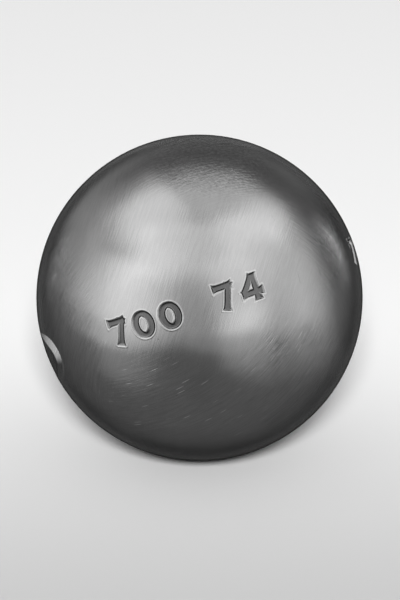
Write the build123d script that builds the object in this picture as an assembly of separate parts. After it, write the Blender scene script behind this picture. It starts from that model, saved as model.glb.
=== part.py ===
from build123d import *
import os
from math import radians, sqrt, tan

# Hollow steel boule, millimetres, origin at its centre, +Z up, stamped figures facing -Y.
# Two forged half shells are bevelled at the rim, butted with a small gap and joined by
# one weld run all the way round, which is then turned flush with the ball.

# Ball
outer_diameter = 74.0
wall_thickness = 6.13

# Seam: its axis lies level, turned from the front towards -X so that it misses the stamps
seam_turn = 45.0

# Edge preparation and weld
root_gap = 1.2
root_land = 1.5
groove_angle = 60.0
bead_width = 3.6
bead_height = 0.7

# Oval struck into the left half shell, seen at the left edge of the ball from the front
oval_length = 22.0
oval_height = 12.0
oval_depth = 0.5
oval_azimuth = -75.6
oval_elevation = -18.2
oval_roll = 20.4

outer_radius = outer_diameter / 2
inner_radius = outer_radius - wall_thickness
towards_left = -1
towards_right = 1


def wall_section():
    return Circle(outer_radius) - Circle(inner_radius)


def groove_section():
    # The gap between the lands, widening from the top of the lands to the skin of the ball.
    land_top = inner_radius + root_land
    half_gap = root_gap / 2
    half_mouth = half_gap + (outer_radius - land_top) * tan(radians(groove_angle / 2))
    return make_face(
        Polyline(
            (0, -half_gap),
            (land_top, -half_gap),
            (outer_radius, -half_mouth),
            (outer_radius, half_mouth),
            (land_top, half_gap),
            (0, half_gap),
            close=True,
        )
    )


def bead_section():
    # The penetration bead: a low round hump whose feet stand on the inner wall.
    half_width = bead_width / 2
    foot = sqrt(inner_radius**2 - half_width**2)
    crown = inner_radius - bead_height
    rise = foot - crown
    bead_radius = (half_width**2 + rise**2) / (2 * rise)
    hump = Pos(crown + bead_radius, 0) * Circle(bead_radius)
    return hump & Circle(inner_radius)


def seat(section):
    # Spins a section about the seam axis and turns that axis to its place.
    return Rot(0, 0, -seam_turn) * revolve(section, axis=Axis.Y)


def half_shell(side):
    quarter = Pos(outer_radius / 2, side * outer_radius / 2) * Rectangle(outer_radius, outer_radius)
    return seat((wall_section() & quarter) - groove_section())


def seam_weld():
    return seat((wall_section() & groove_section()) + bead_section())


def oval_punch():
    # Reaches down to a floor that runs parallel to the skin of the ball.
    facing = Rot(0, 0, oval_azimuth) * Rot(-oval_elevation, 0, 0) * Plane.XZ.location * Rot(0, 0, oval_roll)
    punch = extrude(Ellipse(oval_length / 2, oval_height / 2), amount=outer_radius)
    return facing * punch - Sphere(outer_radius - oval_depth)


os.makedirs("parts", exist_ok=True)
export_step(half_shell(towards_left) - oval_punch(), "parts/left_half_shell.step")
export_step(half_shell(towards_right), "parts/right_half_shell.step")
export_step(seam_weld(), "parts/seam_weld.step")
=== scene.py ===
import math

import bmesh
import bpy
import numpy as np
from mathutils import Matrix, Vector


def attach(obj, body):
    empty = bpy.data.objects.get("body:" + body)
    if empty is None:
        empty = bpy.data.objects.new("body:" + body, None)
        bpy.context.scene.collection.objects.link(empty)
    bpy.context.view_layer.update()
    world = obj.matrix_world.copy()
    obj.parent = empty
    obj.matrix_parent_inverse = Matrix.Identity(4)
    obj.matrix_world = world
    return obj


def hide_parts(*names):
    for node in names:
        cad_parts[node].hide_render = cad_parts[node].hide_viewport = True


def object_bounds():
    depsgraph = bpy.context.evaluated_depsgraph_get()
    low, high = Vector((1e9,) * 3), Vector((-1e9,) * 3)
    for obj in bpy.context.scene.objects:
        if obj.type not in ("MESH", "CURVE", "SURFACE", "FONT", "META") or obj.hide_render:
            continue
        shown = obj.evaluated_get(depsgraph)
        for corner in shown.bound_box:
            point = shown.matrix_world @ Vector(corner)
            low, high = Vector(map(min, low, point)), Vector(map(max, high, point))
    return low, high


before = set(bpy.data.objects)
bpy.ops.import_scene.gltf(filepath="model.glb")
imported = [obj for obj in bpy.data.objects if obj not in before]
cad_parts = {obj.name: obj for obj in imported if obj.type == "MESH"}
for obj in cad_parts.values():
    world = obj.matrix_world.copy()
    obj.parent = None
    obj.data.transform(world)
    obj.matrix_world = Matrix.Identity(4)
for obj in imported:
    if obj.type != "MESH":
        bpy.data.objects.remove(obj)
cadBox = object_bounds()
print("frame loaded:", ", ".join(sorted(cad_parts)))

ball = {
    "radius": round((cadBox[1].z - cadBox[0].z) / 2, 4),
    "wall": 0.00613,
    "seamTurn": math.radians(45),  # the seam axis lies level, turned from the front to the left
    "rootGap": 0.0012,
    "rootLand": 0.0015,
    "grooveAngle": math.radians(60),
    "beadWidth": 0.0036,
    "beadHeight": 0.0007,
}
innerRadius = ball["radius"] - ball["wall"]
landTop = innerRadius + ball["rootLand"]
halfGap = ball["rootGap"] / 2
leftPole = Vector((-math.sin(ball["seamTurn"]), -math.cos(ball["seamTurn"]), 0))
rightPole = -leftPole
skinLine = landTop + ball["wall"] / 2  # farther out than this lies only the skin
skinSlack = 1e-6  # how far a vertex may lie off the skin and still count as on it


# small helpers


def facing(azimuth, elevation):  # in degrees, with azimuth 0 towards the viewer and 90 to the right
    turn = math.radians(azimuth)
    rise = math.radians(elevation)
    return Vector((math.sin(turn) * math.cos(rise), -math.cos(turn) * math.cos(rise), math.sin(rise)))


def markAxes(azimuth, elevation, lean):  # the ways out, along and up of a mark, from degrees
    out = facing(azimuth, elevation)
    turn = math.radians(azimuth)
    tilt = math.radians(lean)
    east = Vector((math.cos(turn), math.sin(turn), 0))
    north = out.cross(east)
    along = east * math.cos(tilt) + north * math.sin(tilt)
    upright = north * math.cos(tilt) - east * math.sin(tilt)
    return out, along, upright


def deselectAll():
    if bpy.context.object and bpy.context.object.mode != "OBJECT":
        bpy.ops.object.mode_set(mode="OBJECT")
    bpy.ops.object.select_all(action="DESELECT")


def selectVerts(piece, wanted):
    bpy.ops.mesh.select_mode(type="VERT")
    bpy.ops.mesh.select_all(action="DESELECT")
    edit = bmesh.from_edit_mesh(piece.data)
    for vert in edit.verts:
        vert.select = wanted(vert.co)
    edit.select_flush_mode()
    bmesh.update_edit_mesh(piece.data)


def selectFaces(piece, wanted):  # wanted answers for all the faces' middles at once
    bpy.ops.mesh.select_mode(type="FACE")
    bpy.ops.mesh.select_all(action="DESELECT")
    edit = bmesh.from_edit_mesh(piece.data)
    middles = np.array([face.calc_center_median() for face in edit.faces])
    for face, chosen in zip(edit.faces, wanted(middles)):
        face.select_set(bool(chosen))
    bmesh.update_edit_mesh(piece.data)


def smoothStep(value):
    value = np.clip(value, 0, 1)
    return value * value * (3 - 2 * value)


# figures, as strokes in a square cell one unit high


punch = {
    "height": 0.0062,
    "pitch": 0.0064,  # from one figure to the next
    "space": 0.0062,  # more room between two numbers
    "stem": 0.122,  # half width of a stroke in its middle, in units
    "flare": 0.178,  # half width at its ends
    "flareLate": 5,  # the higher, the nearer to its ends a stroke starts to widen
    "bowThin": 0.9,  # share of the stem over the top and the foot of a bow
    "bowGain": 0.25,  # and what the sides of the bow have more
    "barSteps": 10,
    "bowSteps": 48,
    "wallWidth": 0.0005,
    "edgeRound": 0.00006,
    "lipHeight": 0.00007,
    "lipOffset": 0.00017,
    "lipWidth": 0.00013,
}


def barStroke(start, end):  # outline of a straight stroke with flared ends, like a cut steel punch
    start = np.array(start)
    end = np.array(end)
    steps = np.linspace(0, 1, punch["barSteps"] + 1)
    path = np.outer(1 - steps, start) + np.outer(steps, end)
    widening = np.abs(2 * steps - 1) ** punch["flareLate"]
    widths = punch["stem"] + (punch["flare"] - punch["stem"]) * widening
    aside = np.array((start[1] - end[1], end[0] - start[0])) / np.linalg.norm(end - start)
    offset = np.outer(widths, aside)
    return [np.vstack((path + offset, (path - offset)[::-1]))]


def ringStroke(reach):  # outer and inner outline of a closed bow, thinner over the top and foot
    turns = np.radians(np.linspace(0, 360, punch["bowSteps"], endpoint=False))
    path = np.column_stack((reach[0] * np.cos(turns), reach[1] * np.sin(turns)))
    widths = punch["stem"] * (punch["bowThin"] + punch["bowGain"] * np.abs(np.cos(turns)))
    outward = np.column_stack((np.cos(turns) / reach[0], np.sin(turns) / reach[1]))
    outward /= np.linalg.norm(outward, axis=1)[:, None]
    return [path + outward * widths[:, None], path - outward * widths[:, None]]


figureStrokes = {
    "0": [ringStroke((0.29, 0.39))],
    "1": [barStroke((0.06, 0.5), (0.06, -0.5)), barStroke((0.06, 0.42), (-0.42, 0.16))],
    "4": [barStroke((0.15, 0.5), (0.15, -0.5)), barStroke((0.13, 0.44), (-0.35, -0.16)),
          barStroke((-0.42, -0.18), (0.42, -0.18))],
    "7": [barStroke((-0.36, 0.37), (0.38, 0.37)), barStroke((0.28, 0.46), (-0.06, -0.5))],
}


def numberStrokes(text):  # strokes in metres along the band, centred on its middle
    strokes = []
    places = []
    reach = 0
    for figure in text:
        if figure == " ":
            reach += punch["space"]
            continue
        places.append((figure, reach))
        reach += punch["pitch"]
    middle = (places[0][1] + places[-1][1]) / 2
    for figure, place in places:
        for outlines in figureStrokes[figure]:
            strokes.append([outline * punch["height"] + (place - middle, 0) for outline in outlines])
    return strokes


def outlineGap(points, outline):  # distance from each point to a closed outline, less than 0 inside
    gap = np.full(len(points), np.inf)
    inside = np.zeros(len(points), dtype=bool)
    for start, end in zip(outline, np.roll(outline, -1, axis=0)):
        step = end - start
        share = np.clip((points - start) @ step / (step @ step), 0, 1)
        gap = np.minimum(gap, np.linalg.norm(points - start - share[:, None] * step, axis=1))
        crossed = (start[1] > points[:, 1]) != (end[1] > points[:, 1])
        if crossed.any():
            inside ^= crossed & (points[:, 0] < start[0] + (points[:, 1] - start[1]) * step[0] / step[1])
    return np.where(inside, -gap, gap)


def strokeGap(points, strokes):  # distance to the nearest stroke, less than 0 inside
    gap = np.full(len(points), np.inf)
    for outlines in strokes:
        own = outlineGap(points, outlines[0])
        for hole in outlines[1:]:
            own = np.maximum(own, -outlineGap(points, hole))
        gap = np.minimum(gap, own)
    return gap


# marks struck into the ball


frontNumber = {
    "text": "700 74",  # grams and millimetres
    "axes": markAxes(-5.6, 15.3, 20.5),
    "cuts": 5,
    "margin": 0.0009,
    "halfLength": 0.024,
    "halfHeight": 0.006,
    "depth": 0.00045,
    "shade": 1,  # how far the bottom of the strokes is darkened
}
sideNumber = {
    "text": "1",
    "axes": markAxes(83, 20.3, -36),
    "cuts": 5,
    "margin": 0.0009,
    "halfLength": 0.006,
    "halfHeight": 0.006,
    "depth": 0.00055,
    "shade": 0.25,
}
oval = {  # struck at a slant: deepest at the end towards the viewer, where the metal is thrown up
    "axes": markAxes(-74.8, -17.2, 20.4),
    "halfLength": 0.011,
    "halfHeight": 0.006,
    "leastSlope": 1e-9,  # stands in for none at the very middle
    "nearDepth": 0.0005,
    "farDepth": 0.00006,
    "slant": (-0.45, 0.9),  # where the floor starts and ends to fall, in half lengths
    "wallWidth": 0.0008,
    "rimHeight": 0.0009,  # from its foot at the outline up to its crest
    "rimDrop": 0.0007,  # the foot lies this far below the skin
    "rimFoot": 0.0004,
    "rimGrowth": (-0.25, 0.8),  # where the rim starts and ends to grow
    "rimRise": (-0.35, 0.05),  # and how far up the oval, in half heights
    "rimPaintedHighlight": (-1.2, 0.3),  # where the painted highlight on its face starts and ends to brighten
    "rimWidth": (0.0006, 0.003),  # at the far end and the near end
    "lipFrom": (-0.3, 0.5),  # where the thin lip of the lower edge starts and ends to show
    "lipWidth": 0.0003,
    "shade": 0.4,
    "cuts": 3,
    "margin": 0.001,
}
maskNames = ("struck", "lip", "rim")  # where the steel is pressed in and thrown up, and where a highlight is painted on the oval's rim


def markPlaces(mark, ways):  # ways are directions from the ball's centre
    out, along, upright = (np.array(axis) for axis in mark["axes"])
    return ways @ out, ways @ along, ways @ upright


def numberGap(mark, ways):
    out, along, upright = markPlaces(mark, ways)
    lengthwise = ball["radius"] * np.arctan2(along, out)
    crosswise = ball["radius"] * np.arcsin(np.clip(upright, -1, 1))
    near = (np.abs(lengthwise) < mark["halfLength"]) & (np.abs(crosswise) < mark["halfHeight"])
    gap = np.full(len(ways), np.inf)
    gap[near] = strokeGap(np.column_stack((lengthwise, crosswise))[near], numberStrokes(mark["text"]))
    return gap


def ovalGap(mark, ways):
    out, along, upright = markPlaces(mark, ways)
    lengthwise = ball["radius"] * along
    crosswise = ball["radius"] * upright
    level = np.hypot(lengthwise / mark["halfLength"], crosswise / mark["halfHeight"])
    slope = np.hypot(lengthwise / mark["halfLength"] ** 2, crosswise / mark["halfHeight"] ** 2)
    gap = (level - 1) * level / np.maximum(slope, mark["leastSlope"])
    return np.where(out > 0, gap, np.inf)


def pressNumber(mark, ways):  # how far the skin is moved out, and the masks that go with it
    gap = numberGap(mark, ways)
    sunk = smoothStep((punch["edgeRound"] - gap) / punch["wallWidth"])
    lip = np.exp(-(((gap - punch["lipOffset"]) / punch["lipWidth"]) ** 2)) * (1 - sunk)
    return punch["lipHeight"] * lip - mark["depth"] * sunk, {"struck": mark["shade"] * sunk, "lip": lip}


def between(value, limits):
    return smoothStep((value - limits[0]) / (limits[1] - limits[0]))


def pressOval(mark, ways):
    _, along, upright = markPlaces(mark, ways)
    reach = ball["radius"] * along / mark["halfLength"]
    rise = ball["radius"] * upright / mark["halfHeight"]
    depth = mark["farDepth"] + (mark["nearDepth"] - mark["farDepth"]) * between(reach, mark["slant"])
    growth = between(reach, mark["rimGrowth"])
    width = mark["rimWidth"][0] + (mark["rimWidth"][1] - mark["rimWidth"][0]) * growth
    gap = ovalGap(mark, ways)
    fromCrest = gap + width
    sunk = smoothStep(-fromCrest / mark["wallWidth"])
    outside = np.clip(1 - fromCrest / width, 0, 1)
    upper = between(rise, mark["rimRise"])
    rim = np.where(fromCrest > 0, outside, 1 - sunk) * growth * upper
    foot = smoothStep(-gap / mark["rimFoot"]) * (1 - sunk) * growth * upper
    # a highlight painted on the rim's face, which brightens its tone
    paintedHighlight = smoothStep(-gap / mark["rimFoot"]) * (1 - sunk) * upper * between(reach, mark["rimPaintedHighlight"])
    lip = np.exp(-((gap / mark["lipWidth"]) ** 2)) * (1 - upper) * between(reach, mark["lipFrom"])
    moved = mark["rimHeight"] * rim - mark["rimDrop"] * foot - depth * sunk + punch["lipHeight"] * lip
    return moved, {"struck": mark["shade"] * sunk, "lip": lip, "rim": paintedHighlight}


def strike(shell, marks):
    mesh = shell.data
    places = np.empty(len(mesh.vertices) * 3)
    mesh.vertices.foreach_get("co", places)
    places = places.reshape(-1, 3)
    reach = np.linalg.norm(places, axis=1)
    skin = reach > skinLine
    ways = places[skin] / reach[skin][:, None]
    height = np.full(len(ways), ball["radius"])
    masks = {name: np.zeros(len(ways)) for name in maskNames}
    for mark, _, press in marks:
        moved, touched = press(mark, ways)
        height += moved
        for name, values in touched.items():
            masks[name] = np.maximum(masks[name], values)
    places[skin] = ways * height[:, None]
    mesh.vertices.foreach_set("co", places.ravel())
    for name, values in masks.items():
        spread = np.zeros(len(places))
        spread[skin] = values
        mesh.attributes.new(name, "FLOAT", "POINT").data.foreach_set("value", spread)
    mesh.update()
    plain = np.zeros(len(places), dtype=bool)
    plain[skin] = np.abs(height - ball["radius"]) < skinSlack
    roundOff(mesh, places, plain)


def roundOff(mesh, places, plain):  # the plain skin is shaded as the true sphere, to hide its facets
    normals = np.empty(len(places) * 3)
    mesh.vertex_normals.foreach_get("vector", normals)
    normals = normals.reshape(-1, 3)
    normals[plain] = places[plain] / np.linalg.norm(places[plain], axis=1)[:, None]
    mesh.normals_split_custom_set_from_vertices([tuple(normal) for normal in normals])


# half shells


shellMesh = {
    "cuts": 72,  # across each side of the cube that the sphere starts from
}
bevelDirection = (math.cos(ball["grooveAngle"] / 2), math.sin(ball["grooveAngle"] / 2))
bevelReach = landTop * bevelDirection[0] + halfGap * bevelDirection[1]
bevelLength = math.sqrt(bevelReach**2 - landTop**2 - halfGap**2 + ball["radius"] ** 2) - bevelReach
rimHeight = halfGap + bevelLength * bevelDirection[1]


def forgeShell(name, pole):
    deselectAll()
    bpy.ops.mesh.primitive_cube_add(size=ball["radius"])
    shell = bpy.context.object
    shell.name = name
    bpy.ops.object.mode_set(mode="EDIT")
    bpy.ops.mesh.select_all(action="SELECT")
    bpy.ops.mesh.subdivide(number_cuts=shellMesh["cuts"])
    bpy.ops.object.mode_set(mode="OBJECT")
    swell = shell.modifiers.new("swell", "CAST")
    swell.cast_type = "SPHERE"
    swell.factor = 1
    swell.use_radius_as_size = False
    swell.radius = 0
    swell.size = ball["radius"]
    bpy.ops.object.modifier_apply(modifier=swell.name)
    shell.rotation_euler.z = -ball["seamTurn"]
    bpy.ops.object.transform_apply(location=False, rotation=True, scale=False)
    bpy.ops.object.mode_set(mode="EDIT")
    bpy.ops.mesh.select_all(action="SELECT")
    bpy.ops.mesh.bisect(plane_co=pole * rimHeight, plane_no=pole, clear_inner=True)
    return shell


def hollowShell(shell, pole):  # the inner wall, then the bevel and the land of the rim
    halfWay = (ball["radius"] + innerRadius) / 2
    shrink = innerRadius / ball["radius"]
    bpy.ops.mesh.select_all(action="SELECT")
    bpy.ops.mesh.duplicate()
    bpy.ops.transform.resize(value=(shrink,) * 3, center_override=(0, 0, 0))
    selectVerts(shell, lambda co: abs(co.dot(pole) - rimHeight) < skinSlack and co.length > halfWay)
    bpy.ops.mesh.extrude_region()
    bevelShare = landTop / math.sqrt(ball["radius"] ** 2 - rimHeight**2)
    bpy.ops.transform.resize(value=(bevelShare,) * 3, center_override=pole * rimHeight)
    bpy.ops.transform.translate(value=pole * (halfGap - rimHeight))
    bpy.ops.mesh.extrude_region()
    landShare = math.sqrt(innerRadius**2 - halfGap**2) / landTop
    bpy.ops.transform.resize(value=(landShare,) * 3, center_override=pole * halfGap)
    innerRim = rimHeight * shrink
    landLine = halfGap + skinSlack
    selectVerts(
        shell,
        lambda co: co.length < innerRadius + skinSlack
        and (co.dot(pole) < landLine or abs(co.dot(pole) - innerRim) < skinSlack),
    )
    bpy.ops.mesh.bridge_edge_loops()
    bpy.ops.mesh.select_all(action="SELECT")
    bpy.ops.mesh.normals_make_consistent(inside=False)


def refineMark(shell, mark, gapOf):  # smaller faces where the punch lands
    def wanted(middles):
        reach = np.linalg.norm(middles, axis=1)
        skin = reach > skinLine
        near = np.zeros(len(middles), dtype=bool)
        near[skin] = gapOf(mark, middles[skin] / reach[skin][:, None]) < mark["margin"]
        return near

    selectFaces(shell, wanted)
    bpy.ops.mesh.subdivide(number_cuts=mark["cuts"])


def makeShell(name, pole, marks):
    shell = forgeShell(name, pole)
    hollowShell(shell, pole)
    for mark, gapOf, _ in marks:
        refineMark(shell, mark, gapOf)
    bpy.ops.object.mode_set(mode="OBJECT")
    bpy.ops.object.shade_smooth()
    strike(shell, marks)
    print(name, "faces:", len(shell.data.polygons))
    return shell


leftMarks = [(frontNumber, numberGap, pressNumber), (oval, ovalGap, pressOval)]
rightMarks = [(sideNumber, numberGap, pressNumber)]
leftShell = makeShell("leftShell", leftPole, leftMarks)
rightShell = makeShell("rightShell", rightPole, rightMarks)


# seam weld


weldMesh = {
    "capSteps": 12,
    "beadSteps": 10,
    "turns": 256,
    "capSlack": 0.00001,  # how far below the skin a vertex still counts as on the cap
}


def weldSection():  # (from the axis, along the axis) round the section of the weld
    capTurn = math.asin(rimHeight / ball["radius"])
    points = []
    for k in range(weldMesh["capSteps"] + 1):
        turn = capTurn * (1 - 2 * k / weldMesh["capSteps"])
        points.append((ball["radius"] * math.cos(turn), ball["radius"] * math.sin(turn)))
    points.append((landTop, -halfGap))
    footHalf = ball["beadWidth"] / 2
    foot = math.sqrt(innerRadius**2 - footHalf**2)
    crown = innerRadius - ball["beadHeight"]
    rise = foot - crown
    beadRadius = (footHalf**2 + rise**2) / (2 * rise)
    beadTurn = math.asin(footHalf / beadRadius)
    points.append((math.sqrt(innerRadius**2 - halfGap**2), -halfGap))
    for k in range(weldMesh["beadSteps"] + 1):
        turn = beadTurn * (2 * k / weldMesh["beadSteps"] - 1)
        points.append((crown + beadRadius * (1 - math.cos(turn)), beadRadius * math.sin(turn)))
    points.append((math.sqrt(innerRadius**2 - halfGap**2), halfGap))
    points.append((landTop, halfGap))
    return points


def makeWeld(name, pole):
    section = weldSection()
    deselectAll()
    bpy.ops.mesh.primitive_circle_add(vertices=len(section), radius=ball["radius"])
    weld = bpy.context.object
    weld.name = name
    up = Vector((0, 0, 1))
    for vert, (fromAxis, alongAxis) in zip(weld.data.vertices, section):
        vert.co = up * fromAxis + pole * alongAxis
    bpy.ops.object.mode_set(mode="EDIT")
    bpy.ops.mesh.select_all(action="SELECT")
    bpy.ops.mesh.spin(steps=weldMesh["turns"], angle=2 * math.pi, center=(0, 0, 0), axis=pole)
    bpy.ops.mesh.select_all(action="SELECT")
    bpy.ops.mesh.remove_doubles(threshold=skinSlack)
    bpy.ops.mesh.normals_make_consistent(inside=False)
    bpy.ops.object.mode_set(mode="OBJECT")
    bpy.ops.object.shade_smooth()
    places = np.array([vert.co for vert in weld.data.vertices])
    plain = np.linalg.norm(places, axis=1) > ball["radius"] - weldMesh["capSlack"]
    roundOff(weld.data, places, plain)
    print(name, "faces:", len(weld.data.polygons))
    return weld


seamWeld = makeWeld("seamWeld", leftPole)


# node helpers


def addNode(tree, kind, **settings):
    node = tree.nodes.new(kind)
    for key, value in settings.items():
        setattr(node, key, value)
    return node


def feed(tree, socket, value):
    if isinstance(value, bpy.types.NodeSocket):
        tree.links.new(value, socket)
    else:
        socket.default_value = value


def calc(tree, operation, first, second=0.0, third=0.0, clamp=False):
    node = addNode(tree, "ShaderNodeMath", operation=operation, use_clamp=clamp)
    for socket, value in zip(node.inputs, (first, second, third)):
        feed(tree, socket, value)
    return node.outputs[0]


def ramp(tree, value, low, high, outLow=0.0, outHigh=1.0):
    node = addNode(tree, "ShaderNodeMapRange", interpolation_type="SMOOTHSTEP")
    for socket, level in zip(node.inputs, (value, low, high, outLow, outHigh)):
        feed(tree, socket, level)
    return node.outputs[0]


def mixed(tree, share, first, second):
    node = addNode(tree, "ShaderNodeMix", data_type="FLOAT")
    feed(tree, node.inputs[0], share)
    feed(tree, node.inputs[2], first)
    feed(tree, node.inputs[3], second)
    return node.outputs[0]


def greyOf(tree, tone):
    grey = addNode(tree, "ShaderNodeCombineColor")
    for channel in grey.inputs:
        feed(tree, channel, tone)
    return grey.outputs[0]


# brushing, laid on in patches as a belt is moved over the ball


brushing = {
    "across": 3400,  # strokes to the metre across and along
    "along": 200,
    "strokeDetail": 3,
    "strokeLow": 0.34,  # noise levels that become the bottom and the crest of a stroke
    "strokeHigh": 0.66,
    "scratchAcross": 1300,
    "scratchAlong": 90,
    "scratchSize": 0.12,
    "pitScale": 150,
    "pitSize": 0.03,
    "speckCore": 0.5,  # share of a scratch or pit that has its full strength
    "grainScale": 1500,
    "grainDetail": 2,
    "waveScale": 55,
    "waveDetail": 1,
    "mottleScale": 90,
    "mottleDetail": 5,
    "noiseRoughness": 0.6,
    "patchEdge": 0.25,
    "patchFade": 0.7,  # the most of a small patch that its soft edge takes up
    "ground": {"at": (-5, 15), "lean": 75, "strokes": 0.3, "scratches": 0},  # under all the patches
    "patches": [  # place, reach and lean from level in degrees, and weights of the strokes and scratches
        {"at": (38, -22), "reach": 36, "lean": 48, "strokes": 0.95, "scratches": 0.45},
        {"at": (-12, -34), "reach": 38, "lean": 28, "strokes": 0.7, "scratches": 1},
        {"at": (0, -66), "reach": 38, "lean": 20, "strokes": 0.2, "scratches": 0},
        {"at": (-70, -5), "reach": 45, "lean": 68, "strokes": 0.7, "scratches": 0.3},
        {"at": (5, 80), "reach": 32, "lean": 20, "strokes": 0.45, "scratches": 0},
        {"at": (90, 25), "reach": 48, "lean": 105, "strokes": 0.45, "scratches": 0.2},
        {"at": (150, 10), "reach": 60, "lean": 65, "strokes": 0.6, "scratches": 0.4},
        {"at": (-150, 25), "reach": 60, "lean": 120, "strokes": 0.6, "scratches": 0.2},
        {"at": (180, -35), "reach": 55, "lean": 35, "strokes": 0.6, "scratches": 0.6},
        {"at": (75, -50), "reach": 40, "lean": 55, "strokes": 0.5, "scratches": 0.6},
        {"at": (-75, -50), "reach": 36, "lean": 150, "strokes": 0.3, "scratches": 0},
    ],
    "grainPatch": {"at": (20, 78), "reach": 26},  # the rougher cap
}
evenLevel = 0.5  # the level of strokes and grain that changes nothing


def drawnOut(tree, place, axes, across, along):  # sheets that the skin cuts into long straight strokes
    out, lengthwise, upright = axes
    mapping = addNode(tree, "ShaderNodeMapping")
    feed(tree, mapping.inputs["Vector"], place)
    mapping.inputs["Rotation"].default_value = Matrix((lengthwise, upright, out)).to_euler()
    scaled = addNode(tree, "ShaderNodeVectorMath", operation="MULTIPLY")
    feed(tree, scaled.inputs[0], mapping.outputs[0])
    scaled.inputs[1].default_value = (along, across, along)
    return scaled.outputs[0]


def noiseOf(tree, place, detail, scale=1):
    noise = addNode(tree, "ShaderNodeTexNoise")
    feed(tree, noise.inputs["Vector"], place)
    noise.inputs["Scale"].default_value = scale
    noise.inputs["Detail"].default_value = detail
    noise.inputs["Roughness"].default_value = brushing["noiseRoughness"]
    return noise.outputs["Fac"]


def specks(tree, place, size, scale=1):  # small marks far apart
    cells = addNode(tree, "ShaderNodeTexVoronoi", feature="F1")
    feed(tree, cells.inputs["Vector"], place)
    cells.inputs["Scale"].default_value = scale
    return ramp(tree, cells.outputs["Distance"], size * brushing["speckCore"], size, 1.0, 0.0)


def patchMask(tree, place, patch):
    inPatch = addNode(tree, "ShaderNodeVectorMath", operation="DOT_PRODUCT")
    feed(tree, inPatch.inputs[0], place)
    inPatch.inputs[1].default_value = facing(*patch["at"]) / ball["radius"]
    edge = math.cos(math.radians(patch["reach"]))
    fade = min(brushing["patchEdge"], (1 - edge) * brushing["patchFade"])
    return ramp(tree, inPatch.outputs["Value"], edge, edge + fade)


def patchMarks(tree, place, patch):  # the strokes and the scratches of one patch
    axes = markAxes(*patch["at"], patch["lean"])
    fine = drawnOut(tree, place, axes, brushing["across"], brushing["along"])
    noise = noiseOf(tree, fine, brushing["strokeDetail"])
    half = patch["strokes"] / 2
    levels = (brushing["strokeLow"], brushing["strokeHigh"], evenLevel - half, evenLevel + half)
    thin = drawnOut(tree, place, axes, brushing["scratchAcross"], brushing["scratchAlong"])
    scratches = calc(tree, "MULTIPLY", specks(tree, thin, brushing["scratchSize"]), patch["scratches"])
    return ramp(tree, noise, *levels), scratches


def brushingGroup():
    tree = bpy.data.node_groups.new("brushing", "ShaderNodeTree")
    for name in ("Strokes", "Scratches", "Pits", "Grain", "Waves", "Mottle"):
        tree.interface.new_socket(name, in_out="OUTPUT", socket_type="NodeSocketFloat")
    result = addNode(tree, "NodeGroupOutput")
    place = addNode(tree, "ShaderNodeTexCoord").outputs["Object"]
    strokes, scratches = patchMarks(tree, place, brushing["ground"])
    for patch in brushing["patches"]:
        mask = patchMask(tree, place, patch)
        patchStrokes, patchScratches = patchMarks(tree, place, patch)
        strokes = mixed(tree, mask, strokes, patchStrokes)
        scratches = mixed(tree, mask, scratches, patchScratches)
    grain = noiseOf(tree, place, brushing["grainDetail"], brushing["grainScale"])
    grain = mixed(tree, patchMask(tree, place, brushing["grainPatch"]), evenLevel, grain)
    waves = noiseOf(tree, place, brushing["waveDetail"], brushing["waveScale"])
    mottle = noiseOf(tree, place, brushing["mottleDetail"], brushing["mottleScale"])
    feed(tree, result.inputs["Strokes"], strokes)
    feed(tree, result.inputs["Scratches"], scratches)
    feed(tree, result.inputs["Pits"], specks(tree, place, brushing["pitSize"], brushing["pitScale"]))
    feed(tree, result.inputs["Grain"], grain)
    feed(tree, result.inputs["Waves"], waves)
    feed(tree, result.inputs["Mottle"], mottle)
    return tree


brushingTree = brushingGroup()


# steel


shellFinish = {
    "tone": 0.11,
    "edgeTint": 0.3,  # how much of a grazing reflection is kept
    "roughness": 0.22,
    "paintedDarkRimFade": (0.6, 0.95),  # painted dark rim, in place of a dark reflection at the ball's edge: how far a face has turned away where its shine and tone start and end to fade
    "paintedDarkRimLoss": 0.97,  # share of the shine that is lost there
    "paintedDarkRimTone": 0.15,  # and the share of the tone that is kept there, darkened as painted shade
    "roughnessFall": 0.1,  # a satin finish looks smoother the flatter it is seen
    "roughnessSpread": 0.1,
    "strokeSpread": 0.25,
    "grainSpread": 0.8,
    "mottleSpread": 0.2,
    "scratchGain": 1.5,
    "pitLoss": 0.5,
    "strokeDepth": 0.00003,
    "grainDepth": 0.000065,
    "waveDepth": 0.0005,
    "struckTone": 0.35,
    "struckRoughness": 0.15,
    "lipGain": 0.35,
    "rimHighlightGain": 3.2,
}
weldFinish = dict(shellFinish)  # the weld is turned flush and brushed with the shells
bumpLayers = {"waveDepth": "Waves", "strokeDepth": "Strokes", "grainDepth": "Grain"}


def swing(tree, value, spread):  # a factor round 1 from a mask round one half
    return calc(tree, "MULTIPLY_ADD", value, spread, 1 - spread / 2)


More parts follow.
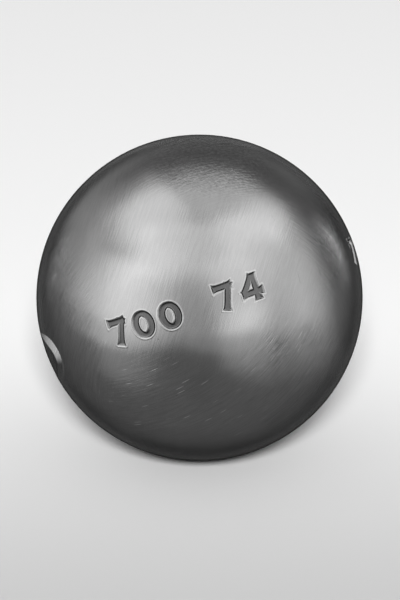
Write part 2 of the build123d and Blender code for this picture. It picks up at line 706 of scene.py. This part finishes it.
def steelMaterial(name, finish):
    material = bpy.data.materials.new(name)
    material.use_nodes = True
    tree = material.node_tree
    steel = tree.nodes["Principled BSDF"]
    steel.inputs["Specular IOR Level"].default_value = 0
    steel.inputs["Specular Tint"].default_value = (finish["edgeTint"],) * 3 + (1,)
    brushed = addNode(tree, "ShaderNodeGroup", node_tree=brushingTree)
    strokes = brushed.outputs["Strokes"]
    masks = {}
    for mask in maskNames:
        masks[mask] = addNode(tree, "ShaderNodeAttribute", attribute_name=mask).outputs["Fac"]
    aslant = addNode(tree, "ShaderNodeLayerWeight").outputs["Facing"]
    factors = [
        # painted dark rim: Layer Weight darkens the tone where the ball is seen edge-on, in place of a
        # dark reflection
        ramp(tree, aslant, *finish["paintedDarkRimFade"], 1.0, finish["paintedDarkRimTone"]),
        swing(tree, strokes, finish["strokeSpread"]),
        swing(tree, brushed.outputs["Mottle"], finish["mottleSpread"]),
        swing(tree, brushed.outputs["Grain"], finish["grainSpread"]),
        calc(tree, "MULTIPLY_ADD", brushed.outputs["Scratches"], finish["scratchGain"], 1.0),
        calc(tree, "MULTIPLY_ADD", brushed.outputs["Pits"], -finish["pitLoss"], 1.0),
        calc(tree, "MULTIPLY_ADD", masks["struck"], finish["struckTone"] - 1, 1.0),
        calc(tree, "MULTIPLY_ADD", masks["lip"], finish["lipGain"], 1.0),
        # painted highlight on the oval's rim
        calc(tree, "MULTIPLY_ADD", masks["rim"], finish["rimHighlightGain"], 1.0),
    ]
    tone = finish["tone"]
    for factor in factors:
        tone = calc(tree, "MULTIPLY", factor, tone)
    feed(tree, steel.inputs["Base Color"], greyOf(tree, tone))
    # painted dark rim: the shine fades to almost none where the ball is seen edge-on
    shineWithPaintedDarkRim = ramp(tree, aslant, *finish["paintedDarkRimFade"], 1.0, 1 - finish["paintedDarkRimLoss"])
    feed(tree, steel.inputs["Metallic"], shineWithPaintedDarkRim)
    spread = finish["roughnessSpread"]
    rough = calc(tree, "MULTIPLY_ADD", strokes, spread, finish["roughness"] - spread / 2)
    rough = calc(tree, "MULTIPLY_ADD", aslant, -finish["roughnessFall"], rough)
    rough = calc(tree, "MULTIPLY_ADD", masks["struck"], finish["struckRoughness"], rough)
    feed(tree, steel.inputs["Roughness"], rough)
    normal = None
    for depth, layer in bumpLayers.items():
        bump = addNode(tree, "ShaderNodeBump")
        bump.inputs["Strength"].default_value = 1
        bump.inputs["Distance"].default_value = finish[depth]
        feed(tree, bump.inputs["Height"], brushed.outputs[layer])
        if normal:
            feed(tree, bump.inputs["Normal"], normal)
        normal = bump.outputs[0]
    feed(tree, steel.inputs["Normal"], normal)
    return material


shellSteel = steelMaterial("shellSteel", shellFinish)
weldSteel = steelMaterial("weldSteel", weldFinish)

for piece, node, finish, slot in (
    (leftShell, "left_half_shell", shellSteel, "shell_steel"),
    (rightShell, "right_half_shell", shellSteel, "shell_steel"),
    (seamWeld, "seam_weld", weldSteel, "weld_steel"),
):
    piece.data.materials.append(finish)
    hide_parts(node)
    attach(piece, "root")
print("steel laid on")


# floor, light and camera


studio = {
    "floorSize": 5.0,
    "paintedFloorShade": (0.5, 0.93),  # of the floor before and behind the ball: painted shade, darker in front and pale behind
    "floorGrade": (-0.12, 0.1),  # where the grading starts and ends, from front to back
    "floorRoughness": 0.9,
    "floorSpecular": 0.1,
    "roomTone": 0.7,  # what the camera and the steel see past the panels
    "roomFill": 0.38,  # what the floor gets from it
    "floorLamp": {"at": (0, 28), "distance": 3.5, "size": 0.6, "glow": 151},
    "panelDistance": 0.14,  # from the ball's centre
    "panels": {  # place, half width and height in degrees, the share of both that is soft, and glow
        "leftWall": {"at": (-73.5, 37), "halfSize": (52, 42), "soft": (0.85, 0.1), "glow": 1.75},
        "leftFront": {"at": (-31.5, 24), "halfSize": (35.5, 47), "soft": (0.95, 0.75), "glow": 2.9},
        "overLens": {"at": (-10.5, 48), "halfSize": (34, 22.5), "soft": (0.15, 0.4), "glow": 1.1},
        "rightFront": {"at": (28, 32.5), "halfSize": (31.5, 40.5), "soft": (0.95, 0.2), "glow": 2.75},
        "rightWall": {"at": (67, 25), "halfSize": (39, 50), "soft": (1, 0.75), "glow": 3.1},
        "leftKey": {"at": (-58.5, -8), "halfSize": (37, 45.5), "soft": (1, 0.2), "glow": 2.15},
        "rightKey": {"at": (15.5, -5.5), "halfSize": (24.5, 49), "soft": (0.05, 0.05), "glow": 0.85},
        "topPanel": {"at": (3, 86), "halfSize": (55, 29.5), "soft": (0.4, 0.8), "glow": 2.6},
        "backGlow": {"at": (191, 23), "halfSize": (55, 28), "soft": (0.55, 0.95), "glow": 1.85},
        "rightStrip": {"at": (116, 11.5), "halfSize": (1.5, 20), "soft": (0.4, 1), "glow": 16},
        "leftStrip": {"at": (-112.5, 6), "halfSize": (1.8, 18), "soft": (0.4, 1), "glow": 7.5},
    },
    "lowDistance": 0.07,
    "lowPanels": {
        "leftLow": {"at": (-42.5, -13.5), "halfSize": (27, 32), "soft": (0.9, 1), "glow": 0.85},
        "rightLow": {"at": (25.5, -3.5), "halfSize": (21, 23.5), "soft": (0.85, 0.5), "glow": 1.1},
        "rightSide": {"at": (65, -12.5), "halfSize": (25, 26), "soft": (0.5, 1), "glow": 0.75},
    },
}
view = {
    "elevation": 20,
    "distance": 0.8,
    "clipStart": 0.01,
    "frameSize": (400, 600),  # in pixels, as are the place and size of the ball's outline in it
    "ballCentre": (199.5, 297.7),
    "ballRadius": 163.18,
}


def makeFloor():
    deselectAll()
    bpy.ops.mesh.primitive_plane_add(size=studio["floorSize"])
    floor = bpy.context.object
    floor.name = "floor"
    for vert in floor.data.vertices:
        vert.co.z = -ball["radius"]
    material = bpy.data.materials.new("paleFloor")
    material.use_nodes = True
    tree = material.node_tree
    shader = tree.nodes["Principled BSDF"]
    place = addNode(tree, "ShaderNodeSeparateXYZ")
    feed(tree, place.inputs[0], addNode(tree, "ShaderNodeTexCoord").outputs["Object"])
    # painted shade: the floor's tone darkens towards the front of the ball
    tone = ramp(tree, place.outputs["Y"], *studio["floorGrade"], *studio["paintedFloorShade"])
    feed(tree, shader.inputs["Base Color"], greyOf(tree, tone))
    shader.inputs["Roughness"].default_value = studio["floorRoughness"]
    shader.inputs["Specular IOR Level"].default_value = studio["floorSpecular"]
    floor.data.materials.append(material)


def makeWorld():
    world = bpy.data.worlds.new("studio")
    bpy.context.scene.world = world
    world.use_nodes = True
    tree = world.node_tree
    rays = addNode(tree, "ShaderNodeLightPath")
    seen = calc(tree, "ADD", rays.outputs["Is Camera Ray"], rays.outputs["Is Glossy Ray"])
    seen = calc(tree, "ADD", seen, rays.outputs["Is Transmission Ray"], clamp=True)
    level = calc(tree, "MULTIPLY_ADD", seen, studio["roomTone"] - studio["roomFill"], studio["roomFill"])
    background = tree.nodes["Background"]
    background.inputs["Color"].default_value = (1, 1, 1, 1)
    feed(tree, background.inputs["Strength"], level)


def addLamp(name, place, width, height, glow):
    deselectAll()
    bpy.ops.object.light_add(type="AREA", location=place)
    lamp = bpy.context.object
    lamp.name = name
    lamp.data.shape = "RECTANGLE"
    lamp.data.size = width
    lamp.data.size_y = height
    lamp.data.energy = glow * width * height * math.pi
    lamp.rotation_euler = (-place).to_track_quat("-Z", "Y").to_euler()
    lamp.visible_camera = False
    return lamp


def softenEdges(lamp, softShares):  # a diffuser that glows less towards its edges
    lamp.data.use_nodes = True
    tree = lamp.data.node_tree
    place = addNode(tree, "ShaderNodeSeparateXYZ")
    feed(tree, place.inputs[0], addNode(tree, "ShaderNodeNewGeometry").outputs["Parametric"])
    fade = 1.0
    for way, softShare in zip("XY", softShares):
        offMiddle = calc(tree, "ABSOLUTE", calc(tree, "MULTIPLY_ADD", place.outputs[way], 2.0, -1.0))
        fromEdge = calc(tree, "SUBTRACT", 1.0, offMiddle)
        fade = calc(tree, "MULTIPLY", ramp(tree, fromEdge, 0.0, softShare), fade)
    feed(tree, tree.nodes["Emission"].inputs["Strength"], fade)


def addPanel(name, panel, distance):
    width, height = (2 * distance * math.tan(math.radians(half)) for half in panel["halfSize"])
    lamp = addLamp(name, facing(*panel["at"]) * distance, width, height, panel["glow"])
    lamp.visible_diffuse = False  # shown by the steel, with no light spilled on the floor
    softenEdges(lamp, panel["soft"])


def makeLights():
    for name, panel in studio["panels"].items():
        addPanel(name, panel, studio["panelDistance"])
    for name, panel in studio["lowPanels"].items():
        addPanel(name, panel, studio["lowDistance"])
    lamp = studio["floorLamp"]
    place = facing(*lamp["at"]) * lamp["distance"]
    floorLamp = addLamp("floorLamp", place, lamp["size"], lamp["size"], lamp["glow"])
    floorLamp.visible_glossy = False


def makeCamera():
    deselectAll()
    away = facing(0, view["elevation"])
    right = Vector((1, 0, 0))
    up = away.cross(right)
    pixel = ball["radius"] / view["ballRadius"]
    slipRight = (view["frameSize"][0] / 2 - view["ballCentre"][0]) * pixel
    slipUp = (view["ballCentre"][1] - view["frameSize"][1] / 2) * pixel
    aim = right * slipRight + up * slipUp
    bpy.ops.object.camera_add(location=aim + away * view["distance"])
    camera = bpy.context.object
    camera.rotation_euler = (-away).to_track_quat("-Z", "Y").to_euler()
    outlineDistance = math.sqrt(view["distance"] ** 2 - ball["radius"] ** 2)
    focalPixels = view["ballRadius"] * outlineDistance / ball["radius"]
    camera.data.lens = focalPixels * camera.data.sensor_width / view["frameSize"][1]
    camera.data.clip_start = view["clipStart"]
    bpy.context.scene.camera = camera


makeFloor()
makeWorld()
makeLights()
makeCamera()
bpy.context.scene.view_settings.view_transform = "Standard"
print("studio set")
